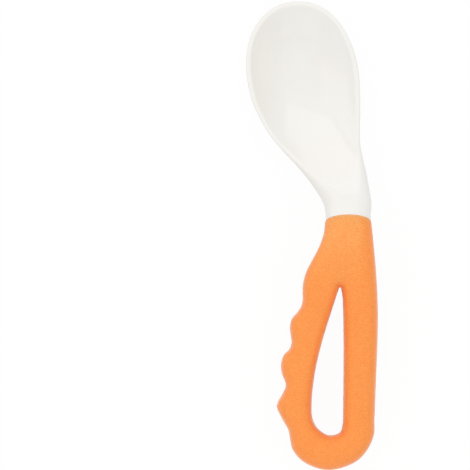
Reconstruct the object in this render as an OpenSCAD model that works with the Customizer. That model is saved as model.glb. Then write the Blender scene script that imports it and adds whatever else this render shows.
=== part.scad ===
// Baby spoon for self-feeding, bent to the left for a right hand.
// One hard moulding makes the bowl, the neck and a looped core; a soft grip is moulded over the core.
// It is drawn with the end of the tail at y = 0 and the middle of the neck at x = 0, then centred.
// It lies on z = 0, on the bottom of the bowl and on a flat land under the tail.

/* [Bowl] */
// Length from the collar of the grip to the tip of the bowl
bowl_l = 65.2; // [58:0.1:72]
// Length from the widest place of the bowl to its tip
nose_l = 22.5; // [18:0.5:26]
// Width of the bowl
bowl_w = 33.7; // [30:0.1:40]
// Height of the rim above the table
bowl_h = 9.2; // [8:0.1:12]
// How far the widest place of the bowl lies to the left of the neck
bowl_lean = 14.7; // [8:0.1:18]
// How far the tip lies further to the left
tip_lean = 1.7; // [0:0.1:3]
// Wall at the bottom of the bowl
bowl_wall = 1.7; // [1.2:0.1:2.4]
// Width of the flat top of the rim
rim_w = 1.3; // [1:0.1:1.8]
// Radius of the upper edge of the rim
rim_r = 0.65; // [0.4:0.05:0.8]

/* [Neck] */
// Width of the neck where it enters the grip
neck_w = 13.3; // [11:0.1:16]
// Height of the middle of the neck above the table
neck_z = 11.9; // [9:0.1:15]
// Lean of the end face of the grip, top towards the bowl
collar_tilt = 23; // [0:1:28]
// Turn of that end face, its right side towards the bowl
collar_turn = 1.5; // [-4:0.5:4]

/* [Grip] */
// Length from the end of the tail to the collar
handle_l = 74.8; // [70:0.1:84]
// Thickness of the grip
grip_t = 10; // [9:0.1:12]
// Thickness of the soft wall over the core
grip_wall = 2; // [1.4:0.1:2.4]
// How far the grip stands proud of the neck
grip_proud = 0.15; // [0.05:0.05:0.4]
// Reach of the rounding of its edges
edge_r = 4.3; // [3:0.1:4.8]
// Depth of the flat land under the tail
land_depth = 0.4; // [0.2:0.1:0.8]
// Distance from the end of the tail to the last finger crest
crest_y = 18.6; // [17.6:0.1:20]
// How far the shoulder above the first finger stands out to the left of the neck
shoulder_out = 6.05; // [4:0.05:8]
// How far the last crest stands out to the left of the shoulder
crest_out = 6.5; // [4:0.05:8]
// Distance from one finger crest to the next
finger_pitch = 12.1; // [11:0.1:12.4]
// Depth of a finger recess
finger_depth = 2; // [0.5:0.1:2.4]
// How far the right side stands out from the neck
back_out = 3.15; // [1:0.05:4]
// Length along which the right side swells out
back_run = 35; // [28:0.5:44]
// Width of the round tail
tail_w = 25.1; // [24:0.1:27]

/* [Finger loop] */
// Width of the opening
hole_w = 9.55; // [7:0.05:10.5]
// Length of the opening
hole_l = 44.7; // [36:0.1:45]
// Width of the tail below the opening
tail_bar = 10.45; // [9.6:0.05:12]
// Width of the straight leg on the right
leg_w = 9.45; // [8.6:0.05:11]

/* [Core] */
// Diameter of the windows that the soft plastic flows through
window_d = 3; // [2:0.1:3.2]
// How far the core is rooted in the neck
root_l = 4; // [2:0.1:6]

/* [Hidden] */

// Places along the length
collar_y = handle_l;
focus_y = collar_y + bowl_l - nose_l;
apex_y = tail_bar + hole_l;

// Widths and heights that follow
grip_neck_w = neck_w + 2*grip_proud;
right_x = grip_neck_w/2 + back_out;
hole_x = right_x - leg_w;
rim_z = bowl_h - rim_r;
tail_z = grip_t/2 - land_depth;
core_t = grip_t - 2*grip_wall;
neck_t = grip_t - 2*grip_proud;

// Exponents of the roundings: the grip, the neck, the outside of the bowl, its keel, its inside, its nose
edge_power = 2.4;
neck_power = 2;
outside_power = 1.7;
keel_power = 2;
inside_power = 2.4;
nose_power = 2.12;

// Exponents of the bowl's widening, of the handle's rise, of the stem's left side, of the crest line
// and of the stem's spacing
width_power = 0.925;
rise_power = 1.5;
stem_power = 1.15;
crest_power = 2;
spine_power = 1.6;

// Shares of the length from collar to focus that the side lines of the bowl take
rim_line_share = 0.8;
keel_line_share = 0.95;
solid_share = 0.62;

// Lean of the bowl's middle line: share of the way to the focus, share of bowl_lean
lean_shares = [
    [0, 0], [0.11, 0.018], [0.22, 0.139], [0.34, 0.32], [0.45, 0.516],
    [0.56, 0.693], [0.67, 0.807], [0.84, 0.93], [1, 1]
];

// Finger side: share of finger_pitch below the shoulder, share of finger_depth
finger_shares = [
    [0.34, 0.76], [0.49, 0.84], [0.64, 0.57], [0.8, 0.08], [1.02, 0.14], [1.2, 0.53], [1.4, 0.96],
    [1.56, 0.82], [1.7, 0.19], [1.93, 0], [2.16, 0.32], [2.45, 1.12], [2.69, 0.7], [2.86, 0.17], [3, 0]
];
finger_n = finger_shares[len(finger_shares) - 1][0];
shoulder_y = crest_y + finger_n*finger_pitch;
tilt_run = collar_y - shoulder_y;

// Share of finger_pitch in which the core draws in under the shoulder
core_run_share = 0.5;

// Windows in the stem: shares of the way from the core's opening to the collar
window_shares = [0.25, 0.56];

// Round tail, from the last crest to the right side, as shares of tail_w from right_x and from its end
tail_shares = [
    [1.1, 0.6], [1.02, 0.462], [0.995, 0.35], [0.965, 0.24], [0.87, 0.122], [0.73, 0.042],
    [0.54, 0], [0.355, 0.038], [0.18, 0.13], [0.065, 0.27], [0, 0.44]
];

// Right side from the tail to the collar: share of the way from the collar to the end of the tail
back_shares = [0.79, 0.64, 0.47, 0.37, 0.28, 0.19, 0.09, 0];

// Opening from its top down the left side and up the right: shares of hole_w and hole_l
hole_shares = [
    [0.24, 1], [0.31, 0.96], [0.445, 0.86], [0.682, 0.677], [0.907, 0.45], [1, 0.229], [0.95, 0.106],
    [0.77, 0.042], [0.42, 0], [0.08, 0.021], [0, 0.08], [0, 0.16], [0.045, 0.514], [0.12, 0.86],
    [0.17, 0.96]
];

// Steps of the meshes
knot_steps = 8;
bowl_steps = 26;
nose_steps = 16;
rim_steps = 4;
floor_steps = 7;

function clamp(s) = max(0, min(1, s));
function mix(a, b, s) = a + (b - a)*s;
function ease(s) = (1 - cos(180*clamp(s)))/2;
// Quarter of a superellipse, from 0 at the edge to 1 inside
function swell(s, power) = pow(1 - pow(1 - clamp(s), power), 1/power);

// Smooth curves through a few points
function between(a, b, ta, tb, t) = mix(a, b, (t - ta)/(tb - ta));
function knot_gap(a, b) = sqrt(norm(b - a));
function curve_point(a, b, c, d, share) =
    let (
        tb = knot_gap(a, b),
        tc = tb + knot_gap(b, c),
        td = tc + knot_gap(c, d),
        t = mix(tb, tc, share),
        ab = between(a, b, 0, tb, t),
        bc = between(b, c, tb, tc, t),
        cd = between(c, d, tc, td, t)
    )
    between(between(ab, bc, 0, tc, t), between(bc, cd, tb, td, t), tb, tc, t);

function open_curve(knots) =
    let (
        n = len(knots),
        before = 2*knots[0] - knots[1],
        after = 2*knots[n - 1] - knots[n - 2],
        all = concat([before], knots, [after])
    )
    concat(
        [for (i = [0:n - 2], j = [0:knot_steps - 1])
            curve_point(all[i], all[i + 1], all[i + 2], all[i + 3], j/knot_steps)],
        [knots[n - 1]]
    );

function closed_curve(knots) =
    let (n = len(knots))
    [for (i = [0:n - 1], j = [0:knot_steps - 1])
        curve_point(knots[(i + n - 1) % n], knots[i], knots[(i + 1) % n], knots[(i + 2) % n], j/knot_steps)];

function part_of(list, from, to) = [for (i = [from:to]) list[i % len(list)]];

// Length of a path up to each of its points
function run_lengths(path) =
    let (n = len(path))
    [for (i = 0, s = 0; i < n; s = s + norm(path[min(i + 1, n - 1)] - path[i]), i = i + 1) s];

// The path again, in n equal steps
function evenly(path, n) =
    let (
        runs = run_lengths(path),
        xs = [for (i = [0:len(path) - 1]) [runs[i], path[i].x]],
        ys = [for (i = [0:len(path) - 1]) [runs[i], path[i].y]],
        total = runs[len(path) - 1]
    )
    [for (i = [0:n]) [lookup(total*i/n, xs), lookup(total*i/n, ys)]];

function without_last(list) = [for (i = [0:len(list) - 2]) list[i]];
function backwards(list) = [for (i = [len(list) - 1:-1:0]) list[i]];

// Path moved to its right by a distance, seen along its run
function moved_right(path, distance) =
    let (n = len(path))
    [for (i = [0:n - 1])
        let (way = path[min(i + 1, n - 1)] - path[max(i - 1, 0)])
        path[i] + distance*[way.y, -way.x]/norm(way)];

// Side lines
function neck_share(y) = clamp((y - collar_y)/(focus_y - collar_y));
function handle_z(y) = mix(tail_z, neck_z, sin(90*pow(clamp(y/handle_l), rise_power)));
function rim_line(y) = mix(neck_z, rim_z, ease(neck_share(y)/rim_line_share));
function keel_line(y) = mix(neck_z - neck_t/2, 0, ease(neck_share(y)/keel_line_share));
function floor_line(y) = mix(neck_z + neck_t/2, bowl_wall, ease(neck_share(y)/keel_line_share));
function solid_at(y) = 1 - ease(neck_share(y)/solid_share);
// How far the slant of the collar moves a point that lies h above the middle of the section
function slant(place, h) =
    (h*tan(collar_tilt) + place.x*tan(collar_turn))*ease(1 - abs(place.y - collar_y)/tilt_run);

// Middle line and half width of the bowl
lean_curve = open_curve(lean_shares);
function middle_x(y) =
    -bowl_lean*lookup(neck_share(y), lean_curve) - tip_lean*sin(90*clamp((y - focus_y)/nose_l));
function half_w(y) = mix(neck_w/2, bowl_w/2, ease(pow(neck_share(y), width_power)));

// A station is an outline point and the point of the middle line that it faces
function bowl_station(i, side) =
    i <= bowl_steps
        ? let (y = mix(collar_y, focus_y, i/bowl_steps))
            [[middle_x(y) + side*half_w(y), y], [middle_x(y), y]]
        : let (
                turn = 90*(i - bowl_steps)/nose_steps,
                y = focus_y + nose_l*pow(sin(turn), 2/nose_power),
                out = bowl_w/2*pow(abs(cos(turn)), 2/nose_power)
            )
            [[middle_x(y) + side*out, y], [middle_x(focus_y), focus_y]];

bowl_last = bowl_steps + nose_steps;
bowl_stations = concat(
    [for (i = [0:bowl_last]) bowl_station(i, 1)],
    [for (i = [bowl_last - 1:-1:0]) bowl_station(i, -1)]
);

// Distances from the outline at which a bowl station has its points
function bowl_depths(width, rim) = concat(
    [for (j = [0:rim_steps]) rim*(1 - cos(90*j/rim_steps))],
    [for (j = [1:floor_steps]) mix(rim, width, j/floor_steps)]
);

// Points of a station, top and bottom, from the outline to the middle line
function bowl_points(station) =
    let (
        outer = station[0],
        inner = station[1],
        width = norm(inner - outer),
        y = outer.y,
        solid = solid_at(y),
        edge_z = rim_line(y),
        rim = mix(rim_w, edge_r, solid),
        crown = mix(rim_r, neck_t/2, solid),
        crown_r = mix(rim_r, neck_w/2, solid),
        crown_power = mix(edge_power, neck_power, solid),
        keel_r = mix(width, neck_w/2, solid),
        side_power = mix(outside_power, neck_power, solid),
        hollow = edge_z + crown - floor_line(inner.y),
        keel = edge_z - keel_line(inner.y)
    )
    [for (d = bowl_depths(width, rim))
        let (
            place = mix(outer, inner, d/width),
            sink = 1 - pow(1 - clamp((d - rim)/(width - rim)), inside_power),
            up = crown*swell(d/crown_r, crown_power) - hollow*sink,
            down = keel*swell(d/keel_r, mix(side_power, keel_power, clamp(d/keel_r)))
        )
        [for (h = [up, -down]) [place.x, place.y + slant(place, h), edge_z + h]]];

// Handle outline: knots down the left side, round the tail and up the right side
function finger_cut(knot, fingers) = fingers ? knot[1] : ease(knot[0]/core_run_share);
function crest_x(s) = grip_neck_w/2 + shoulder_out + crest_out*(1 - pow(1 - s, crest_power));
function outline_knots(fingers) = concat(
    [for (i = [0:left_knot])
        [
            -grip_neck_w/2 - shoulder_out*ease(pow(i/left_knot, stem_power)),
            mix(collar_y, shoulder_y, i/left_knot)
        ]],
    [for (f = finger_shares)
        [
            finger_depth*finger_cut(f, fingers) - crest_x(f[0]/finger_n),
            shoulder_y - finger_pitch*f[0]
        ]],
    [for (t = tail_shares) [right_x - tail_w*t[0], tail_w*t[1]]],
    [for (s = back_shares)
        [grip_neck_w/2 + back_out*sin(90*clamp(handle_l*s/back_run)), collar_y - handle_l*s]]
);

// Knots where the stem, the left leg, the tail and the right leg of the handle meet
left_knot = 5;
tail_knot = left_knot + len(finger_shares) + 2;
back_knot = left_knot + len(finger_shares) + len(tail_shares);
top_knot = back_knot + 5;
last_knot = back_knot + len(back_shares);

hole_knots = [for (h = hole_shares) [hole_x - hole_w*h[0], tail_bar + hole_l*h[1]]];
hole_ends = [0, 6, 10, len(hole_shares)];

// Counts of steps down the stem, down the left leg, round the tail, up the right leg and across
grip_steps = [14, 40, 22, 18, 10];
core_steps = [8, 20, 14, 10, 8];

function section(curve, from, to, n) = evenly(part_of(curve, from*knot_steps, to*knot_steps), n);

// Top of the opening's outline, grown by an inset
function apex(inset) = hole_knots[0] + [0, inset];

// Stations of the handle: a point outside and the point that it faces, on the stem's middle or the opening
function handle_stations(fingers, inset, steps, root) =
    let (
        curve = moved_right(open_curve(outline_knots(fingers)), -inset),
        top_left = curve[0] + [0, root],
        top_right = curve[len(curve) - 1] + [0, root],
        outer = concat(
            without_last(evenly(concat([top_left], part_of(curve, 0, left_knot*knot_steps)), steps[0])),
            without_last(section(curve, left_knot, tail_knot, steps[1])),
            without_last(section(curve, tail_knot, back_knot, steps[2])),
            without_last(section(curve, back_knot, top_knot, steps[3])),
            evenly(concat(part_of(curve, top_knot*knot_steps, last_knot*knot_steps), [top_right]), steps[0])
        ),
        top = (top_left + top_right)/2,
        spine = [for (i = [0:steps[0]]) mix(top, apex(inset), 1 - pow(1 - i/steps[0], spine_power))],
        hole = moved_right(closed_curve(hole_knots), inset),
        inner = concat(
            without_last(spine),
            [for (s = [0:2]) each without_last(section(hole, hole_ends[s], hole_ends[s + 1], steps[s + 1]))],
            backwards(spine)
        )
    )
    [for (i = [0:len(outer) - 1]) [outer[i], i == steps[0] ? apex(inset) : inner[i]]];

// Points of a station, top and bottom, from the outline inwards. The section is an ellipse at the collar.
function handle_points(stations, inset, steps, thick, slanted) =
    [for (k = [0:len(stations) - 1])
        let (
            outer = stations[k][0],
            inner = stations[k][1],
            row = min(k, len(stations) - 1 - k),
            on_stem = row < steps[0],
            edge = on_stem ? apex(inset) : inner,
            width = norm(inner - outer),
            dome = ease(1 - row/steps[0]),
            r = min(mix(edge_r, grip_neck_w/2, dome) - inset, on_stem ? width : width/2),
            power = mix(edge_power, neck_power, dome)
        )
        [for (j = [0:steps[4]])
            let (
                place = mix(outer, inner, (1 - cos(180*j/steps[4]))/2),
                h = thick/2*swell(min(norm(place - outer), norm(place - edge))/r, power)
            )
            [for (s = [h, -h])
                [place.x, place.y + (slanted ? slant(place, s) : 0), handle_z(place.y) + s]]]];

// Closed mesh over stations that run anticlockwise seen from above. Up to the seam, opposite stations
// share their inner point. Past it they share one point, or end on the edge of an opening.
function mesh_point(k, j, side, last, across, seam, opening) =
    let (
        mirrored = min(k, last - k),
        owner = j < across ? k : mirrored <= seam ? mirrored : opening ? k : seam,
        joined = j == 0 || (opening && j == across && mirrored >= seam)
    )
    2*((across + 1)*owner + j) + (joined ? 0 : side);

function whole_faces(faces) = [for (f = faces) if (f[0] != f[1] && f[1] != f[2] && f[2] != f[0]) f];

module mesh(points, seam, opening) {
    last = len(points) - 1;
    across = len(points[0]) - 1;
    skin = [for (k = [0:last - 1], j = [0:across - 1], side = [0, 1])
        let (
            a = mesh_point(k, j, side, last, across, seam, opening),
            b = mesh_point(k + 1, j, side, last, across, seam, opening),
            c = mesh_point(k + 1, j + 1, side, last, across, seam, opening),
            d = mesh_point(k, j + 1, side, last, across, seam, opening)
        )
        each side == 0 ? [[a, d, c], [a, c, b]] : [[a, c, d], [a, b, c]]];
    end = [for (k = [0, last], j = [0:across - 1])
        let (
            near_top = mesh_point(k, k == 0 ? j + 1 : j, 0, last, across, seam, opening),
            far_top = mesh_point(k, k == 0 ? j : j + 1, 0, last, across, seam, opening),
            near_low = mesh_point(k, k == 0 ? j + 1 : j, 1, last, across, seam, opening),
            far_low = mesh_point(k, k == 0 ? j : j + 1, 1, last, across, seam, opening)
        )
        each [[near_top, far_top, far_low], [near_top, far_low, near_low]]];
    polyhedron(
        points = [for (station = points) each [for (pair = station) each pair]],
        faces = whole_faces(concat(skin, end)),
        convexity = 8
    );
}

bowl_mesh = [for (station = bowl_stations) bowl_points(station)];
grip_mesh = handle_points(handle_stations(true, 0, grip_steps, 0), 0, grip_steps, grip_t, true);
core_mesh = handle_points(
    handle_stations(false, grip_wall, core_steps, root_l), grip_wall, core_steps, core_t, false
);

// The finished part is centred over z = 0
function spread(meshes, axis) = [for (m = meshes, station = m, pair = station, p = pair) p[axis]];
all_x = spread([bowl_mesh, grip_mesh], 0);
all_y = spread([bowl_mesh, grip_mesh], 1);
centre = [(min(all_x) + max(all_x))/2, (min(all_y) + max(all_y))/2];

window_places = concat(
    [for (s = window_shares) [0, mix(apex_y + grip_wall, collar_y, s)]],
    [[right_x - tail_w/2, tail_bar/2]]
);

// Looped core that the grip is moulded over, with the windows that the soft plastic fills
module core() {
    difference() {
        mesh(core_mesh, core_steps[0], true);
        for (place = window_places)
            translate([place.x, place.y, handle_z(place.y)])
                cylinder(d = window_d, h = 2*grip_t, center = true, $fn = 32);
    }
}

// Hard white moulding: bowl, neck and core
module spoon_body() {
    color("#F2EFE8")
        translate([-centre.x, -centre.y, 0]) {
            mesh(bowl_mesh, bowl_steps, false);
            core();
        }
}

// Soft grip over the core, with a flat land under its tail
module grip() {
    color("#FD9E50")
        translate([-centre.x, -centre.y, 0])
            difference() {
                mesh(grip_mesh, grip_steps[0], true);
                core();
                translate([-handle_l, -handle_l, -grip_t])
                    cube([2*handle_l, 2*handle_l, grip_t]);
            }
}

spoon_body();
grip();
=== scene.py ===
"""Baby spoon: a glossy white moulding with a soft, grained grip moulded round its looped core.

Both main pieces are built from the sizes of the CAD part, only finer, and the grain of the grip is
real relief that Geometry Nodes press into its surface. The camera looks straight down.
"""
import math

import bmesh
import bpy
import numpy as np
from mathutils import Matrix, Vector


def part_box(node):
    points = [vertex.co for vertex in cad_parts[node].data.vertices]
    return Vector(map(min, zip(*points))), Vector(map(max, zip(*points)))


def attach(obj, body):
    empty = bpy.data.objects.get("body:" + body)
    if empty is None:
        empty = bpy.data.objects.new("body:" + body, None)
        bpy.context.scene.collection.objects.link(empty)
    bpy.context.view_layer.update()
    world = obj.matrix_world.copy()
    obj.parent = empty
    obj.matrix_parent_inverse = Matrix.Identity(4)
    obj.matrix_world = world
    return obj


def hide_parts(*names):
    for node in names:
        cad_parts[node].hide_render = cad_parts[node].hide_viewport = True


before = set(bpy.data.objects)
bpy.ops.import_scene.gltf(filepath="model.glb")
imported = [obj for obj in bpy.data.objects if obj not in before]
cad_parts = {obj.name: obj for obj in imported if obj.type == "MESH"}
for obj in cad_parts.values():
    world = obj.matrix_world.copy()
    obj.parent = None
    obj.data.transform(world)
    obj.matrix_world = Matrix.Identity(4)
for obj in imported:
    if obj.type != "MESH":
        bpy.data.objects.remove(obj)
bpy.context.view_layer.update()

MM = 0.001

# Bowl, in millimetres
BOWL_L = 65.2
NOSE_L = 22.5
BOWL_W = 33.7
BOWL_H = 9.2
BOWL_LEAN = 14.7
TIP_LEAN = 1.7
BOWL_WALL = 1.7
RIM_W = 1.3
RIM_R = 0.65

# Neck
NECK_W = 13.3
NECK_Z = 11.9
COLLAR_TILT = math.radians(23)
COLLAR_TURN = math.radians(1.5)

# Grip
HANDLE_L = 74.8
GRIP_T = 10
GRIP_PROUD = 0.15
EDGE_R = 4.3
LAND_DEPTH = 0.4
CREST_Y = 18.6
SHOULDER_OUT = 6.05
CREST_OUT = 6.5
FINGER_PITCH = 12.1
FINGER_DEPTH = 2
BACK_OUT = 3.15
BACK_RUN = 35
TAIL_W = 25.1

# Finger loop
HOLE_W = 9.55
HOLE_L = 44.7
TAIL_BAR = 10.45
LEG_W = 9.45

# Details that only the dressed model has
LIP_R = 0.4
PARTING_H = 0.06
NECK_IN_GRIP = 3.5
CORE_CUT = 2.2

# Leather grain, in millimetres, and how high over the table it starts and fades in
GRAIN_CELL = 0.68
GRAIN_DEPTH = 0.02
BARE_H = 0.1
BARE_FADE = 1

# Leather grain, as shares of its cells
GRAIN_WARP = 1.2
GRAIN_CREASES = 0.5
GRAIN_STRETCH = (0.7, 1.0, 1.0)
CREASE_STRETCH = (0.5, 1.0, 1.0)
GROOVE_SHARE = 0.3
DRIFTS_PER_CELL = 0.4
CREASES_PER_CELL = 1.7

# Hair scratches: their two directions, and how much longer than wide they are
SCRATCH_TURNS = (0.5, 2.1)
SCRATCH_STRETCH = (1.0, 30.0, 1.0)

# Reach of the painted highlight on the stem near the collar, and of the grip's lip, in millimetres
STEM_HIGHLIGHT_RUN = 23
STEM_HIGHLIGHT_EDGE = 5.6
LIP_RUN = 1.1

# Colours, and the tints that deepen them; the paler stem orange is a painted highlight, and the flank and
# groove tints are painted shade
WHITE = (0.81, 0.80, 0.765, 1)
DEEP_WHITE = (0.81, 0.785, 0.745, 1)
ORANGE = (0.92, 0.335, 0.056, 1)
DEEP_ORANGE = (0.915, 0.32, 0.05, 1)
STEM_HIGHLIGHT_ORANGE = (0.92, 0.395, 0.094, 1)
LIP_ORANGE = (0.91, 0.45, 0.2, 1)
FLANK_SHADE_TINT = (1.08, 0.96, 0.87, 1)
GROOVE_SHADE_TINT = (0.95, 0.76, 0.6, 1)
SHEEN_TINT = (1.0, 0.88, 0.82, 1)

# Half the side of the floor, in metres, and the share of its shadow that shows
FLOOR_HALF = 1.5
SHADOW_SHARE = 0.05

# Brightness of the floor and of the world, for the light that they send on and for the camera
FLOOR_LEVELS = (0.72, 0.95)
WORLD_LEVELS = (0.82, 1.0)

# Softboxes: name, place and size in metres, power in watts
SOFTBOXES = [
    ("above", (0, 0, 1.3), (1.6, 1.6), 2.2),
    ("left", (-1.2, 0.25, 0.8), (0.9, 1.5), 2.35),
    ("right", (1.2, 0, 0.8), (0.9, 1.5), 0.7),
    ("behind", (0, 1.2, 0.8), (1.8, 0.9), 4.3),
    ("front", (0, -1.2, 0.8), (1.8, 0.9), 2.4),
]

# Camera, in millimetres, turned about the upright
CAMERA_PLACE = (-22.67, -0.34, 800)
CAMERA_TURN = math.radians(1.78)
CAMERA_REACH = 10000
LENS = 203
SENSOR_W = 36

# What follows from these sizes
FOCUS_Y = HANDLE_L + BOWL_L - NOSE_L
GRIP_NECK_W = NECK_W + 2*GRIP_PROUD
RIGHT_X = GRIP_NECK_W/2 + BACK_OUT
HOLE_X = RIGHT_X - LEG_W
RIM_Z = BOWL_H - RIM_R
TAIL_Z = GRIP_T/2 - LAND_DEPTH
NECK_T = GRIP_T - 2*GRIP_PROUD

# Exponents of the roundings and of the side lines
EDGE_POWER = 2.4
NECK_POWER = 2
OUTSIDE_POWER = 1.7
KEEL_POWER = 2
INSIDE_POWER = 2.4
NOSE_POWER = 2.12
WIDTH_POWER = 0.925
RISE_POWER = 1.5
STEM_POWER = 1.15
CREST_POWER = 2
SPINE_POWER = 1.6
RIM_LINE_SHARE = 0.8
KEEL_LINE_SHARE = 0.95
SOLID_SHARE = 0.62

# Lean of the bowl's middle line: share of the way to the focus, share of BOWL_LEAN
LEAN_SHARES = [
    (0, 0), (0.11, 0.018), (0.22, 0.139), (0.34, 0.32), (0.45, 0.516),
    (0.56, 0.693), (0.67, 0.807), (0.84, 0.93), (1, 1),
]

# Finger side: share of FINGER_PITCH below the shoulder, share of FINGER_DEPTH
FINGER_SHARES = [
    (0.34, 0.76), (0.49, 0.84), (0.64, 0.57), (0.8, 0.08), (1.02, 0.14), (1.2, 0.53), (1.4, 0.96),
    (1.56, 0.82), (1.7, 0.19), (1.93, 0), (2.16, 0.32), (2.45, 1.12), (2.69, 0.7), (2.86, 0.17), (3, 0),
]
FINGERS = FINGER_SHARES[-1][0]
SHOULDER_Y = CREST_Y + FINGERS*FINGER_PITCH
TILT_RUN = HANDLE_L - SHOULDER_Y
COLLAR_SLOPE = (-math.tan(COLLAR_TURN), 1.0, -math.tan(COLLAR_TILT))

# Round tail, as shares of TAIL_W from the right side and from its end
TAIL_SHARES = [
    (1.1, 0.6), (1.02, 0.462), (0.995, 0.35), (0.965, 0.24), (0.87, 0.122), (0.73, 0.042),
    (0.54, 0), (0.355, 0.038), (0.18, 0.13), (0.065, 0.27), (0, 0.44),
]

# Right side: share of the way from the collar to the end of the tail
BACK_SHARES = [0.79, 0.64, 0.47, 0.37, 0.28, 0.19, 0.09, 0]

# Opening from its top down the left side and up the right: shares of HOLE_W and HOLE_L
HOLE_SHARES = [
    (0.24, 1), (0.31, 0.96), (0.445, 0.86), (0.682, 0.677), (0.907, 0.45), (1, 0.229), (0.95, 0.106),
    (0.77, 0.042), (0.42, 0), (0.08, 0.021), (0, 0.08), (0, 0.16), (0.045, 0.514), (0.12, 0.86),
    (0.17, 0.96),
]

# Knots at which the parts of the handle's outline and of the opening's outline meet
LEFT_KNOT = 5
TAIL_KNOT = LEFT_KNOT + len(FINGER_SHARES) + 2
BACK_KNOT = LEFT_KNOT + len(FINGER_SHARES) + len(TAIL_SHARES)
TOP_KNOT = BACK_KNOT + 5
LAST_KNOT = BACK_KNOT + len(BACK_SHARES)
HOLE_ENDS = [0, 6, 10, len(HOLE_SHARES)]

# Steps of the meshes
KNOT_STEPS = 24
NECK_STEPS = 8
BOWL_STEPS = 150
NOSE_STEPS = 90
RIM_STEPS = 12
FLOOR_STEPS = 44
LIP_STEPS = 8
STEM_STEPS = 80
LEFT_STEPS = 170
TAIL_STEPS = 170
BACK_STEPS = 150
GRIP_ACROSS = 54
PROFILE_STEPS = 200


def clamp(share):
    return max(0.0, min(1.0, share))


def mix(a, b, share):
    return a + (b - a)*share


def ease(share):
    return (1 - math.cos(math.pi*clamp(share)))/2


def swell(share, power):
    """Quarter of a superellipse, from 0 at the edge to 1 inside."""
    return (1 - (1 - clamp(share))**power)**(1/power)


def curve_point(a, b, c, d, share):
    """Point between b and c of a centripetal Catmull-Rom curve."""
    tb = math.sqrt(np.linalg.norm(b - a))
    tc = tb + math.sqrt(np.linalg.norm(c - b))
    td = tc + math.sqrt(np.linalg.norm(d - c))
    t = mix(tb, tc, share)
    ab = mix(a, b, t/tb)
    bc = mix(b, c, (t - tb)/(tc - tb))
    cd = mix(c, d, (t - tc)/(td - tc))
    return mix(mix(ab, bc, t/tc), mix(bc, cd, (t - tb)/(td - tb)), (t - tb)/(tc - tb))


def curve_through(quads):
    return [curve_point(*quad, j/KNOT_STEPS) for quad in quads for j in range(KNOT_STEPS)]


def open_curve(knots):
    knots = [np.array(k, float) for k in knots]
    line = [2*knots[0] - knots[1], *knots, 2*knots[-1] - knots[-2]]
    return curve_through(zip(line, line[1:], line[2:], line[3:])) + [knots[-1]]


def closed_curve(knots):
    knots = [np.array(k, float) for k in knots]
    n = len(knots)
    return curve_through([knots[i - 1], knots[i], knots[(i + 1) % n], knots[(i + 2) % n]] for i in range(n))


def spaced(path, shares):
    """Points of a path at shares of its length."""
    path = np.array(path)
    runs = np.concatenate([[0], np.cumsum(np.linalg.norm(np.diff(path, axis=0), axis=1))])
    places = np.array(shares)*runs[-1]
    return list(np.column_stack([np.interp(places, runs, path[:, 0]), np.interp(places, runs, path[:, 1])]))


def evenly(path, n):
    return spaced(path, [i/n for i in range(n + 1)])


# Side lines of the spoon
def neck_share(y):
    return clamp((y - HANDLE_L)/(FOCUS_Y - HANDLE_L))


def handle_z(y):
    return mix(TAIL_Z, NECK_Z, math.sin(math.pi/2*clamp(y/HANDLE_L)**RISE_POWER))


def rim_line(y):
    return mix(NECK_Z, RIM_Z, ease(neck_share(y)/RIM_LINE_SHARE))


def keel_line(y):
    return mix(NECK_Z - NECK_T/2, 0, ease(neck_share(y)/KEEL_LINE_SHARE))


def floor_line(y):
    return mix(NECK_Z + NECK_T/2, BOWL_WALL, ease(neck_share(y)/KEEL_LINE_SHARE))


def solid_at(y):
    return 1 - ease(neck_share(y)/SOLID_SHARE)


def slant(x, y, h):
    """How far the slant of the collar moves a point that lies h above the middle of the section."""
    return (h*math.tan(COLLAR_TILT) + x*math.tan(COLLAR_TURN))*ease(1 - abs(y - HANDLE_L)/TILT_RUN)


# Middle line and half width of the bowl
LEAN_CURVE = np.array(open_curve(LEAN_SHARES))


def middle_x(y):
    lean = np.interp(neck_share(y), LEAN_CURVE[:, 0], LEAN_CURVE[:, 1])
    return -BOWL_LEAN*lean - TIP_LEAN*math.sin(math.pi/2*clamp((y - FOCUS_Y)/NOSE_L))


def half_w(y):
    return mix(NECK_W/2, BOWL_W/2, ease(neck_share(y)**WIDTH_POWER))


def bowl_station(i, side):
    """An outline point of the bowl and the point of the middle line that it faces."""
    if i <= BOWL_STEPS:
        y = mix(HANDLE_L, FOCUS_Y, i/BOWL_STEPS) if i > 0 else HANDLE_L + NECK_IN_GRIP*i/NECK_STEPS
        return np.array([middle_x(y) + side*half_w(y), y]), np.array([middle_x(y), y])
    turn = math.pi/2*(i - BOWL_STEPS)/NOSE_STEPS
    y = FOCUS_Y + NOSE_L*math.sin(turn)**(2/NOSE_POWER)
    out = BOWL_W/2*abs(math.cos(turn))**(2/NOSE_POWER)
    return np.array([middle_x(y) + side*out, y]), np.array([middle_x(FOCUS_Y), FOCUS_Y])


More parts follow.
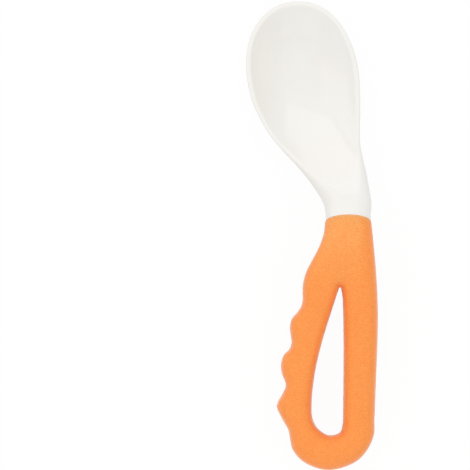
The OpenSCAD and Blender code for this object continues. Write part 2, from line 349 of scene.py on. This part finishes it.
def bowl_row(station):
    """Pairs of points, top and bottom, from the outline to the middle line."""
    outer, inner = station
    width = np.linalg.norm(inner - outer)
    y = outer[1]
    solid = solid_at(y)
    edge_z = rim_line(y)
    rim = mix(RIM_W, EDGE_R, solid)
    crown = mix(RIM_R, NECK_T/2, solid)
    crown_r = mix(RIM_R, NECK_W/2, solid)
    crown_power = mix(EDGE_POWER, NECK_POWER, solid)
    keel_r = mix(width, NECK_W/2, solid)
    side_power = mix(OUTSIDE_POWER, NECK_POWER, solid)
    hollow = edge_z + crown - floor_line(inner[1])
    keel = edge_z - keel_line(inner[1])
    depths = [rim*(1 - math.cos(math.pi/2*j/RIM_STEPS)) for j in range(RIM_STEPS + 1)]
    depths += [mix(rim, width, j/FLOOR_STEPS) for j in range(1, FLOOR_STEPS + 1)]
    row = []
    for depth in depths:
        x, y = mix(outer, inner, depth/width)
        sink = 1 - (1 - clamp((depth - rim)/(width - rim)))**INSIDE_POWER
        up = crown*swell(depth/crown_r, crown_power) - hollow*sink
        down = keel*swell(depth/keel_r, mix(side_power, KEEL_POWER, clamp(depth/keel_r)))
        row.append([(x, y + slant(x, y, h), edge_z + h) for h in (up, -down)])
    return row


def bowl_rows():
    last = BOWL_STEPS + NOSE_STEPS
    right = [bowl_station(i, 1) for i in range(-NECK_STEPS, last + 1)]
    left = [bowl_station(i, -1) for i in range(last - 1, -NECK_STEPS - 1, -1)]
    return [bowl_row(station) for station in right + left]


def crest_x(share):
    return GRIP_NECK_W/2 + SHOULDER_OUT + CREST_OUT*(1 - (1 - share)**CREST_POWER)


def outline_knots():
    """Knots of the handle's outline down the left side, round the tail and up the right side."""
    down = [i/LEFT_KNOT for i in range(LEFT_KNOT + 1)]
    shoulder = [
        (-GRIP_NECK_W/2 - SHOULDER_OUT*ease(s**STEM_POWER), mix(HANDLE_L, SHOULDER_Y, s)) for s in down
    ]
    fingers = [
        (FINGER_DEPTH*cut - crest_x(s/FINGERS), SHOULDER_Y - FINGER_PITCH*s) for s, cut in FINGER_SHARES
    ]
    tail = [(RIGHT_X - TAIL_W*across, TAIL_W*up) for across, up in TAIL_SHARES]
    back = [
        (GRIP_NECK_W/2 + BACK_OUT*math.sin(math.pi/2*clamp(HANDLE_L*s/BACK_RUN)), HANDLE_L - HANDLE_L*s)
        for s in BACK_SHARES
    ]
    return shoulder + fingers + tail + back


def grip_stations():
    """Each outline point of the handle and the point that it faces, on the stem's middle or the opening."""
    curve = open_curve(outline_knots())

    def section(path, first, last, n):
        stretch = [path[i % len(path)] for i in range(first*KNOT_STEPS, last*KNOT_STEPS + 1)]
        return evenly(stretch, n)

    lip_share = 2*LIP_R/(HANDLE_L - SHOULDER_Y)
    shares = [lip_share*(1 - math.cos(math.pi/2*i/LIP_STEPS)) for i in range(LIP_STEPS)]
    shares += [mix(lip_share, 1, i/STEM_STEPS) for i in range(STEM_STEPS + 1)]
    outer = (
        spaced(curve[:LEFT_KNOT*KNOT_STEPS + 1], shares)[:-1]
        + section(curve, LEFT_KNOT, TAIL_KNOT, LEFT_STEPS)[:-1]
        + section(curve, TAIL_KNOT, BACK_KNOT, TAIL_STEPS)[:-1]
        + section(curve, BACK_KNOT, TOP_KNOT, BACK_STEPS)[:-1]
        + spaced(curve[TOP_KNOT*KNOT_STEPS:LAST_KNOT*KNOT_STEPS + 1], [1 - s for s in reversed(shares)])
    )
    hole_knots = [(HOLE_X - HOLE_W*across, TAIL_BAR + HOLE_L*up) for across, up in HOLE_SHARES]
    apex = np.array(hole_knots[0])
    top = (curve[0] + curve[-1])/2
    spine = [mix(top, apex, 1 - (1 - s)**SPINE_POWER) for s in shares]
    hole = closed_curve(hole_knots)
    inner = spine[:-1]
    for first, last, n in zip(HOLE_ENDS, HOLE_ENDS[1:], (LEFT_STEPS, TAIL_STEPS, BACK_STEPS)):
        inner += section(hole, first, last, n)[:-1]
    inner += spine[::-1]
    return list(zip(outer, inner)), apex, shares


def even_shares(outer, inner, edge, reach, power):
    """Shares of the way across a row of the grip that step evenly along its rounded surface."""
    shares = (1 - np.cos(np.pi*np.linspace(0, 1, PROFILE_STEPS + 1)))/2
    places = outer + (inner - outer)*shares[:, None]
    depths = np.minimum(np.linalg.norm(places - outer, axis=1), np.linalg.norm(places - edge, axis=1))
    heights = GRIP_T/2*(1 - (1 - np.minimum(depths/reach, 1))**power)**(1/power)
    steps = np.hypot(np.diff(shares)*np.linalg.norm(inner - outer), np.diff(heights))
    runs = np.concatenate([[0], np.cumsum(steps)])
    return np.interp(np.linspace(0, runs[-1], GRIP_ACROSS + 1), runs, shares)


def lip_inset(y):
    """How far the soft edge at the collar has rounded in at a place."""
    into = clamp((y - HANDLE_L + LIP_R)/LIP_R)
    return LIP_R*(1 - math.sqrt(1 - into**2))


def grip_rows():
    """Rows of the grip, and how many of them lie on its stem."""
    stations, apex, shares = grip_stations()
    last = len(stations) - 1
    stem = len(shares) - 1
    rows = []
    for k, (outer, inner) in enumerate(stations):
        turn = min(k, last - k)
        on_stem = turn < stem
        edge = apex if on_stem else inner
        width = np.linalg.norm(inner - outer)
        across = (inner - outer)/width
        dome = ease(1 - shares[turn]) if on_stem else 0
        reach = min(mix(EDGE_R, GRIP_NECK_W/2, dome), width if on_stem else width/2)
        power = mix(EDGE_POWER, NECK_POWER, dome)
        row = []
        for share in even_shares(outer, inner, edge, reach, power):
            place = mix(outer, inner, share)
            inset = lip_inset(place[1])
            depth = min(np.linalg.norm(place - outer), np.linalg.norm(place - edge))
            h = (GRIP_T/2 - inset)*swell(depth/reach, power)
            place = place + across*inset*(1 - share)
            if h == 0:
                place = place - across*PARTING_H*(1 if share < 0.5 else -1)
            x, y = place
            row.append([(x, y + slant(x, y, s), max(handle_z(y) + s, 0)) for s in (h, -h)])
        rows.append(row)
    return rows, stem


def web_mesh(name, rows, seam, opening):
    """Closed mesh over rows that run anticlockwise seen from above.

    Up to the seam, opposite rows share their inner points. Past it they share one point, or end on the
    edge of an opening, where top and bottom meet as they do on the outline.
    """
    last, across = len(rows) - 1, len(rows[0]) - 1

    def key(k, j, side):
        mirrored = min(k, last - k)
        if j < across:
            owner = k
        elif mirrored <= seam:
            owner = mirrored
        else:
            owner = k if opening else seam
        joined = j == 0 or (opening and j == across and mirrored >= seam)
        return owner, j, 0 if joined else side

    mesh = bmesh.new()
    made = {}

    def vert(k, j, side):
        spot = key(k, j, side)
        if spot not in made:
            owner, j, side = spot
            made[spot] = mesh.verts.new(Vector(rows[owner][j][side])*MM)
        return made[spot]

    def face(*corners):
        kept = [v for i, v in enumerate(corners) if v not in corners[:i]]
        if len(kept) > 2:
            mesh.faces.new(kept)

    for k in range(last):
        for j in range(across):
            face(vert(k, j, 0), vert(k + 1, j, 0), vert(k + 1, j + 1, 0), vert(k, j + 1, 0))
            face(vert(k, j, 1), vert(k, j + 1, 1), vert(k + 1, j + 1, 1), vert(k + 1, j, 1))
    for k in (0, last):
        for j in range(across):
            a, b = (j, j + 1) if k == 0 else (j + 1, j)
            face(vert(k, a, 0), vert(k, b, 0), vert(k, b, 1), vert(k, a, 1))
    data = bpy.data.meshes.new(name)
    mesh.to_mesh(data)
    mesh.free()
    return data


def finish_piece(name, data, material, slot, *nodes):
    """Puts a finished mesh in the scene as a piece of the spoon."""
    data.polygons.foreach_set("use_smooth", [True]*len(data.polygons))
    piece = bpy.data.objects.new(name, data)
    bpy.context.scene.collection.objects.link(piece)
    piece.data.materials.clear()
    piece.data.materials.append(material)
    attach(piece, "root")
    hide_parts(*nodes)
    return piece


def feed(tree, socket, value):
    """Gives a socket a value, or links the output of another node to it."""
    if isinstance(value, bpy.types.NodeSocket):
        tree.links.new(value, socket)
    else:
        socket.default_value = value


def put(tree, kind, inputs=None, **settings):
    """Adds a node, with its inputs and its settings."""
    node = tree.nodes.new(kind)
    for name, value in settings.items():
        setattr(node, name, value)
    for key, value in (inputs or {}).items():
        feed(tree, node.inputs[key], value)
    return node


def calc(tree, operation, *values):
    return put(tree, "ShaderNodeMath", dict(enumerate(values)), operation=operation).outputs[0]


def vector(tree, operation, *values):
    return put(tree, "ShaderNodeVectorMath", dict(enumerate(values)), operation=operation).outputs[0]


def ramp(tree, value, low, high, to_low=0.0, to_high=1.0, shape="SMOOTHSTEP"):
    """Value carried from one range to another, without leaving it."""
    levels = {"Value": value, "From Min": low, "From Max": high, "To Min": to_low, "To Max": to_high}
    return put(tree, "ShaderNodeMapRange", levels, interpolation_type=shape).outputs["Result"]


def axis(tree, place, name):
    """One of the three values of a place or a direction."""
    return put(tree, "ShaderNodeSeparateXYZ", {0: place}).outputs[name]


def blend(tree, share, a, b, mode="MIX"):
    """Colour between two colours."""
    node = put(tree, "ShaderNodeMix", data_type="RGBA", blend_type=mode)
    for key, value in ((0, share), (6, a), (7, b)):
        feed(tree, node.inputs[key], value)
    return node.outputs[2]


def new_group(name, kind, inputs, outputs):
    """A node group with named sockets, each given as (name, type, default)."""
    tree = bpy.data.node_groups.new(name, kind)
    for label, socket_type, default in inputs:
        socket = tree.interface.new_socket(label, in_out="INPUT", socket_type=socket_type)
        if default is not None:
            socket.default_value = default
    for label, socket_type in outputs:
        tree.interface.new_socket(label, in_out="OUTPUT", socket_type=socket_type)
    source = tree.nodes.new("NodeGroupInput")
    drain = tree.nodes.new("NodeGroupOutput")
    return tree, source.outputs, drain.inputs


def use(tree, group, inputs):
    """Places a shader node group in a material."""
    node = tree.nodes.new("ShaderNodeGroup")
    node.node_tree = group
    for key, value in inputs.items():
        feed(tree, node.inputs[key], value)
    return node.outputs


def pebbles(tree, place, cell, warp):
    """Rounded cells of uneven size, 1 on top and 0 in the grooves, for the relief and for the shading."""
    place = vector(tree, "MULTIPLY", place, GRAIN_STRETCH)
    drift = put(tree, "ShaderNodeTexNoise", {
        "Vector": place, "Scale": calc(tree, "DIVIDE", DRIFTS_PER_CELL, cell), "Detail": 2.0,
    }).outputs["Color"]
    shift = put(tree, "ShaderNodeVectorMath", {
        0: vector(tree, "SUBTRACT", drift, (0.5, 0.5, 0.5)), 3: calc(tree, "MULTIPLY", cell, warp),
    }, operation="SCALE").outputs[0]
    cells = put(tree, "ShaderNodeTexVoronoi", {
        "Vector": vector(tree, "ADD", place, shift), "Scale": calc(tree, "DIVIDE", 1.0, cell),
    }, feature="DISTANCE_TO_EDGE")
    return ramp(tree, cells.outputs["Distance"], 0.0, GROOVE_SHARE)


def up_the_handle(tree, place):
    """How far up the handle a place lies, in step with the slanted end of the grip."""
    dot = put(tree, "ShaderNodeVectorMath", {0: place, 1: COLLAR_SLOPE}, operation="DOT_PRODUCT")
    return dot.outputs["Value"]


def relief_tree():
    """Geometry Nodes that press the grooves of the leather grain into a piece."""
    tree, given, result = new_group("leather_relief", "GeometryNodeTree", [
        ("Geometry", "NodeSocketGeometry", None),
        ("Cell Size", "NodeSocketFloat", GRAIN_CELL*MM),
        ("Depth", "NodeSocketFloat", GRAIN_DEPTH*MM),
        ("Warp", "NodeSocketFloat", GRAIN_WARP),
        ("Bare Below", "NodeSocketFloat", 0.0),
        ("Bare Beyond", "NodeSocketFloat", 0.0),
        ("Material", "NodeSocketMaterial", None),
    ], [("Geometry", "NodeSocketGeometry")])
    place = tree.nodes.new("GeometryNodeInputPosition").outputs[0]
    normal = tree.nodes.new("GeometryNodeInputNormal").outputs[0]
    height = pebbles(tree, place, given["Cell Size"], given["Warp"])
    fade = BARE_FADE*MM
    above = ramp(tree, calc(tree, "SUBTRACT", axis(tree, place, "Z"), given["Bare Below"]), 0.0, fade)
    short = ramp(tree, calc(tree, "SUBTRACT", given["Bare Beyond"], up_the_handle(tree, place)), 0.0, fade)
    depth = calc(tree, "MULTIPLY", calc(tree, "MULTIPLY", above, short), given["Depth"])
    sink = calc(tree, "MULTIPLY", calc(tree, "SUBTRACT", height, 1.0), depth)
    offset = put(tree, "ShaderNodeVectorMath", {0: normal, 3: sink}, operation="SCALE").outputs[0]
    pressed = put(tree, "GeometryNodeSetPosition", {"Geometry": given["Geometry"], "Offset": offset})
    real = put(tree, "GeometryNodeRealizeInstances", {"Geometry": pressed.outputs[0]})
    dressed = put(tree, "GeometryNodeSetMaterial", {
        "Geometry": real.outputs[0], "Material": given["Material"],
    })
    tree.links.new(dressed.outputs[0], result["Geometry"])
    return tree


def shaped_by(tree, data, settings):
    """The mesh that a Geometry Nodes tree makes of another, with its inputs set by name."""
    carrier = bpy.data.objects.new("carrier", data)
    bpy.context.scene.collection.objects.link(carrier)
    modifier = carrier.modifiers.new("shape", "NODES")
    modifier.node_group = tree
    for item in tree.interface.items_tree:
        if item.item_type == "SOCKET" and item.in_out == "INPUT" and item.name in settings:
            modifier[item.identifier] = settings[item.name]
    seen = carrier.evaluated_get(bpy.context.evaluated_depsgraph_get())
    made = bpy.data.meshes.new_from_object(seen)
    bpy.data.objects.remove(carrier)
    return made


def tone_group():
    """Slow drift between two tones, as uneven pigment and wall thickness give a moulding."""
    tree, given, result = new_group("tone_drift", "ShaderNodeTree", [
        ("Vector", "NodeSocketVector", None),
        ("Patch Size", "NodeSocketFloat", 0.02),
        ("Tone", "NodeSocketColor", (1, 1, 1, 1)),
        ("Deep Tone", "NodeSocketColor", (1, 1, 1, 1)),
    ], [("Color", "NodeSocketColor"), ("Share", "NodeSocketFloat")])
    noise = put(tree, "ShaderNodeTexNoise", {
        "Vector": given["Vector"], "Scale": calc(tree, "DIVIDE", 1.0, given["Patch Size"]), "Detail": 3.0,
    })
    share = ramp(tree, noise.outputs[0], 0.3, 0.7)
    tree.links.new(blend(tree, share, given["Tone"], given["Deep Tone"]), result["Color"])
    tree.links.new(share, result["Share"])
    return tree


def grain_group():
    """Leather grain for shading: the cells of the relief, crossed by fine creases."""
    tree, given, result = new_group("leather_grain", "ShaderNodeTree", [
        ("Vector", "NodeSocketVector", None),
        ("Cell Size", "NodeSocketFloat", GRAIN_CELL*MM),
        ("Warp", "NodeSocketFloat", GRAIN_WARP),
        ("Creases", "NodeSocketFloat", GRAIN_CREASES),
    ], [("Height", "NodeSocketFloat"), ("Grooves", "NodeSocketFloat")])
    height = pebbles(tree, given["Vector"], given["Cell Size"], given["Warp"])
    along = vector(tree, "MULTIPLY", given["Vector"], CREASE_STRETCH)
    noise = put(tree, "ShaderNodeTexNoise", {
        "Vector": along, "Detail": 2.0,
        "Scale": calc(tree, "DIVIDE", CREASES_PER_CELL, given["Cell Size"]),
    }).outputs[0]
    apart = calc(tree, "SUBTRACT", ramp(tree, noise, 0.4, 0.6), height)
    level = calc(tree, "MULTIPLY_ADD", apart, given["Creases"], height)
    tree.links.new(level, result["Height"])
    tree.links.new(calc(tree, "SUBTRACT", 1.0, level), result["Grooves"])
    return tree


def wear_group():
    """Marks of handling and washing: hair scratches in two directions and dull patches."""
    tree, given, result = new_group("handling_wear", "ShaderNodeTree", [
        ("Vector", "NodeSocketVector", None),
        ("Scratch Length", "NodeSocketFloat", 0.01),
        ("Patch Size", "NodeSocketFloat", 0.008),
    ], [("Scratches", "NodeSocketFloat"), ("Patches", "NodeSocketFloat")])
    lines = []
    for turn in SCRATCH_TURNS:
        turned = put(tree, "ShaderNodeVectorRotate", {
            "Vector": given["Vector"], "Angle": turn,
        }, rotation_type="Z_AXIS").outputs[0]
        stretched = vector(tree, "MULTIPLY", turned, SCRATCH_STRETCH)
        noise = put(tree, "ShaderNodeTexNoise", {
            "Vector": stretched, "Scale": calc(tree, "DIVIDE", 1.0, given["Scratch Length"]), "Detail": 4.0,
        }).outputs[0]
        lines.append(ramp(tree, noise, 0.62, 0.7))
    tree.links.new(calc(tree, "MAXIMUM", *lines), result["Scratches"])
    patches = put(tree, "ShaderNodeTexNoise", {
        "Vector": given["Vector"], "Scale": calc(tree, "DIVIDE", 1.0, given["Patch Size"]), "Detail": 4.0,
    }).outputs[0]
    tree.links.new(ramp(tree, patches, 0.35, 0.75), result["Patches"])
    return tree


def new_material(name):
    """An empty material with a Principled shader, and the object's own coordinates through a mapping."""
    material = bpy.data.materials.new(name)
    material.use_nodes = True
    tree = material.node_tree
    tree.nodes.clear()
    place = put(tree, "ShaderNodeMapping", {
        "Vector": tree.nodes.new("ShaderNodeTexCoord").outputs["Object"],
    }).outputs[0]
    shader = tree.nodes.new("ShaderNodeBsdfPrincipled")
    tree.links.new(shader.outputs[0], tree.nodes.new("ShaderNodeOutputMaterial").inputs["Surface"])
    return material, tree, place, shader


def settle(shader, settings):
    """Sets what is the same all over a surface on the shader's own sockets."""
    for name, value in settings.items():
        shader.inputs[name].default_value = value


def white_plastic(tone_drift, handling_wear):
    """Glossy cream-white polypropylene, dulled where it slides on the table."""
    plain_rough = 0.12
    patch_rough = 0.05
    scratch_rough = 0.04
    rubbed_rough = 0.22
    rubbed_h = 0.6*MM
    wave_l = 6.25*MM
    material, tree, place, shader = new_material("white_plastic")
    tone = use(tree, tone_drift, {
        "Vector": place, "Patch Size": 18*MM, "Tone": WHITE, "Deep Tone": DEEP_WHITE,
    })
    wear = use(tree, handling_wear, {"Vector": place, "Scratch Length": 9*MM, "Patch Size": 7*MM})
    rubbed = ramp(tree, axis(tree, place, "Z"), 0.0, rubbed_h, rubbed_rough, 0.0)
    rough = calc(tree, "MULTIPLY_ADD", wear["Patches"], patch_rough, plain_rough)
    rough = calc(tree, "MULTIPLY_ADD", wear["Scratches"], scratch_rough, rough)
    rough = calc(tree, "ADD", rough, rubbed)
    flow = put(tree, "ShaderNodeTexNoise", {"Vector": place, "Scale": 1/wave_l, "Detail": 1.0}).outputs[0]
    waves = put(tree, "ShaderNodeBump", {"Height": flow, "Strength": 0.06, "Distance": 0.5*MM}).outputs[0]
    hairs = put(tree, "ShaderNodeBump", {
        "Height": wear["Scratches"], "Strength": 0.025, "Distance": 0.05*MM, "Normal": waves,
    }).outputs[0]
    tree.links.new(tone["Color"], shader.inputs["Base Color"])
    tree.links.new(rough, shader.inputs["Roughness"])
    tree.links.new(hairs, shader.inputs["Normal"])
    settle(shader, {"IOR": 1.49})
    return material


def soft_grip(tone_drift, handling_wear, leather_grain, stem_x, end):
    """Matte orange elastomer with a fine leather grain.

    It is lighter on the stem near the collar, a painted highlight, deeper and redder on its flanks, painted
    shade, and darker in the grooves of its grain, painted shade too. It is a little polished by hands and
    by the table.
    Its end is how far up the handle it reaches.
    """
    plain_rough = 0.42
    groove_rough = 0.12
    patch_polish = -0.06
    rubbed_polish = -0.12
    rubbed_h = 0.5*MM
    groove_share = 0.9
    top_level = 0.9
    flank_level = 0.4
    material, tree, place, shader = new_material("soft_grip")
    tone = use(tree, tone_drift, {
        "Vector": place, "Patch Size": 20*MM, "Tone": ORANGE, "Deep Tone": DEEP_ORANGE,
    })["Color"]
    grain = use(tree, leather_grain, {
        "Vector": place, "Cell Size": GRAIN_CELL*MM, "Warp": GRAIN_WARP, "Creases": GRAIN_CREASES,
    })
    wear = use(tree, handling_wear, {"Vector": place, "Scratch Length": 6*MM, "Patch Size": 12*MM})
    run = up_the_handle(tree, place)
    # Painted highlight: the stem near the collar, away from its flanks, is lightened to a paler orange
    near_collar = ramp(tree, run, end - STEM_HIGHLIGHT_RUN*MM, end)
    off_flank = ramp(tree, axis(tree, place, "X"), stem_x + STEM_HIGHLIGHT_EDGE*MM, stem_x + STEM_HIGHLIGHT_EDGE*MM/2)
    tone = blend(tree, calc(tree, "MULTIPLY", near_collar, off_flank), tone, STEM_HIGHLIGHT_ORANGE)
    tone = blend(tree, ramp(tree, run, end - LIP_RUN*MM, end, shape="LINEAR"), tone, LIP_ORANGE)
    # Painted shade: where the surface turns from upright, the flanks are tinted deeper and redder
    facing = tree.nodes.new("ShaderNodeTexCoord").outputs["Normal"]
    upright = calc(tree, "ABSOLUTE", axis(tree, facing, "Z"))
    tone = blend(tree, ramp(tree, upright, top_level, flank_level), tone, FLANK_SHADE_TINT, "MULTIPLY")
    # Painted shade: the grooves of the grain are darkened and reddened
    groove_shade_tone = blend(tree, 1.0, tone, GROOVE_SHADE_TINT, "MULTIPLY")
    colour = blend(tree, calc(tree, "MULTIPLY", grain["Grooves"], groove_share), tone, groove_shade_tone)
    rubbed = ramp(tree, axis(tree, place, "Z"), 0.0, rubbed_h, rubbed_polish, 0.0)
    rough = calc(tree, "MULTIPLY_ADD", grain["Grooves"], groove_rough, plain_rough)
    rough = calc(tree, "MULTIPLY_ADD", wear["Patches"], patch_polish, rough)
    rough = calc(tree, "ADD", rough, rubbed)
    bump = put(tree, "ShaderNodeBump", {"Height": grain["Height"], "Strength": 0.8, "Distance": 0.06*MM})
    tree.links.new(colour, shader.inputs["Base Color"])
    tree.links.new(rough, shader.inputs["Roughness"])
    tree.links.new(bump.outputs[0], shader.inputs["Normal"])
    settle(shader, {
        "Subsurface Weight": 0.4, "Subsurface Radius": (1.0, 0.3, 0.1), "Subsurface Scale": 2.5*MM,
        "Sheen Weight": 0.6, "Sheen Roughness": 0.4, "Sheen Tint": SHEEN_TINT,
    })
    return material


def core_mesh():
    """The looped core inside the grip, cut from the CAD moulding."""
    mesh = bmesh.new()
    mesh.from_mesh(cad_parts["spoon_body"].data)
    bmesh.ops.remove_doubles(mesh, verts=mesh.verts, dist=0.001*MM)
    collar_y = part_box("grip")[0].y/MM + HANDLE_L
    cut = bmesh.ops.bisect_plane(
        mesh, geom=mesh.verts[:] + mesh.edges[:] + mesh.faces[:],
        plane_co=(0, (collar_y - CORE_CUT)*MM, 0), plane_no=(0, 1, 0), clear_outer=True,
    )
    rim = [g for g in cut["geom_cut"] if isinstance(g, bmesh.types.BMEdge)]
    bmesh.ops.contextual_create(mesh, geom=rim)
    data = bpy.data.meshes.new("core")
    mesh.to_mesh(data)
    mesh.free()
    return data


def joined(name, *meshes):
    """One mesh that holds several closed shells."""
    whole = bmesh.new()
    for data in meshes:
        whole.from_mesh(data)
    result = bpy.data.meshes.new(name)
    whole.to_mesh(result)
    whole.free()
    return result


def make_spoon():
    """The white moulding and the grip, centred as the CAD part is."""
    tone_drift, handling_wear, leather_grain = tone_group(), wear_group(), grain_group()
    white = white_plastic(tone_drift, handling_wear)
    rows, stem = grip_rows()
    bowl = web_mesh("bowl", bowl_rows(), NECK_STEPS + BOWL_STEPS, False)
    skin = web_mesh("skin", rows, stem, True)
    places = np.array([v.co.xy for data in (bowl, skin) for v in data.vertices])
    middle = (places.min(0) + places.max(0))/2
    for data in (bowl, skin):
        data.transform(Matrix.Translation((-middle[0], -middle[1], 0)))
    collar = Vector((-middle[0], HANDLE_L*MM - middle[1], NECK_Z*MM))
    end = collar.dot(Vector(COLLAR_SLOPE))
    soft = soft_grip(tone_drift, handling_wear, leather_grain, collar.x, end)
    grained = shaped_by(relief_tree(), skin, {
        "Cell Size": GRAIN_CELL*MM, "Depth": GRAIN_DEPTH*MM, "Warp": GRAIN_WARP,
        "Bare Below": BARE_H*MM, "Bare Beyond": end - LIP_R*MM, "Material": soft,
    })
    moulding = joined("spoon_moulding", bowl, core_mesh())
    finish_piece("spoon_moulding", moulding, white, "white_plastic", "spoon_body")
    finish_piece("soft_grip_skin", grained, soft, "soft_grip", "grip")


def seen_as_background(tree):
    """1 for rays that show a surface to the camera, straight or in a shiny one, and 0 for others."""
    path = tree.nodes.new("ShaderNodeLightPath").outputs
    mirrored = calc(tree, "MAXIMUM", path["Is Glossy Ray"], path["Is Transmission Ray"])
    return calc(tree, "MAXIMUM", path["Is Camera Ray"], mirrored)


def white_to_the_camera(material):
    """A white surface that shows as plain white, with a share of its shadow kept."""
    material.use_nodes = True
    tree = material.node_tree
    tree.nodes.clear()
    seen = seen_as_background(tree)
    level = ramp(tree, seen, 0.0, 1.0, *FLOOR_LEVELS, "LINEAR")
    paint = put(tree, "ShaderNodeBsdfDiffuse", {"Color": level})
    plain = put(tree, "ShaderNodeEmission", {"Color": (1, 1, 1, 1), "Strength": 1.0})
    share = calc(tree, "MULTIPLY", seen, 1 - SHADOW_SHARE)
    surface = put(tree, "ShaderNodeMixShader", {0: share, 1: paint.outputs[0], 2: plain.outputs[0]})
    tree.links.new(surface.outputs[0], tree.nodes.new("ShaderNodeOutputMaterial").inputs["Surface"])


def make_floor():
    corners = [(FLOOR_HALF*x, FLOOR_HALF*y, 0) for x, y in ((-1, -1), (1, -1), (1, 1), (-1, 1))]
    data = bpy.data.meshes.new("floor")
    data.from_pydata(corners, [], [(0, 1, 2, 3)])
    material = bpy.data.materials.new("white_floor")
    white_to_the_camera(material)
    data.materials.append(material)
    floor = bpy.data.objects.new("floor", data)
    bpy.context.scene.collection.objects.link(floor)


def make_world():
    world = bpy.data.worlds.new("studio")
    bpy.context.scene.world = world
    world.use_nodes = True
    tree = world.node_tree
    tree.nodes.clear()
    strength = ramp(tree, seen_as_background(tree), 0.0, 1.0, *WORLD_LEVELS, "LINEAR")
    sky = put(tree, "ShaderNodeBackground", {"Color": (1, 1, 1, 1), "Strength": strength})
    tree.links.new(sky.outputs[0], tree.nodes.new("ShaderNodeOutputWorld").inputs["Surface"])


def softbox(name, place, size, power):
    """A rectangular lamp that faces the middle of the spoon."""
    data = bpy.data.lights.new(name, "AREA")
    data.shape = "RECTANGLE"
    data.size, data.size_y = size
    data.energy = power
    lamp = bpy.data.objects.new(name, data)
    lamp.location = place
    lamp.rotation_mode = "QUATERNION"
    lamp.rotation_quaternion = (-Vector(place)).to_track_quat("-Z", "Y")
    bpy.context.scene.collection.objects.link(lamp)


def make_camera():
    """Straight above, left of the spoon and turned a little, as in the photograph."""
    data = bpy.data.cameras.new("camera")
    data.sensor_width = SENSOR_W
    data.lens = LENS
    camera = bpy.data.objects.new("camera", data)
    camera.location = Vector(CAMERA_PLACE)*MM
    camera.rotation_euler = (0, 0, CAMERA_TURN)
    data.clip_end = CAMERA_REACH*MM
    bpy.context.scene.collection.objects.link(camera)
    bpy.context.scene.camera = camera


make_spoon()
make_floor()
make_world()
for lamp in SOFTBOXES:
    softbox(*lamp)
make_camera()
bpy.context.scene.view_settings.view_transform = "Standard"
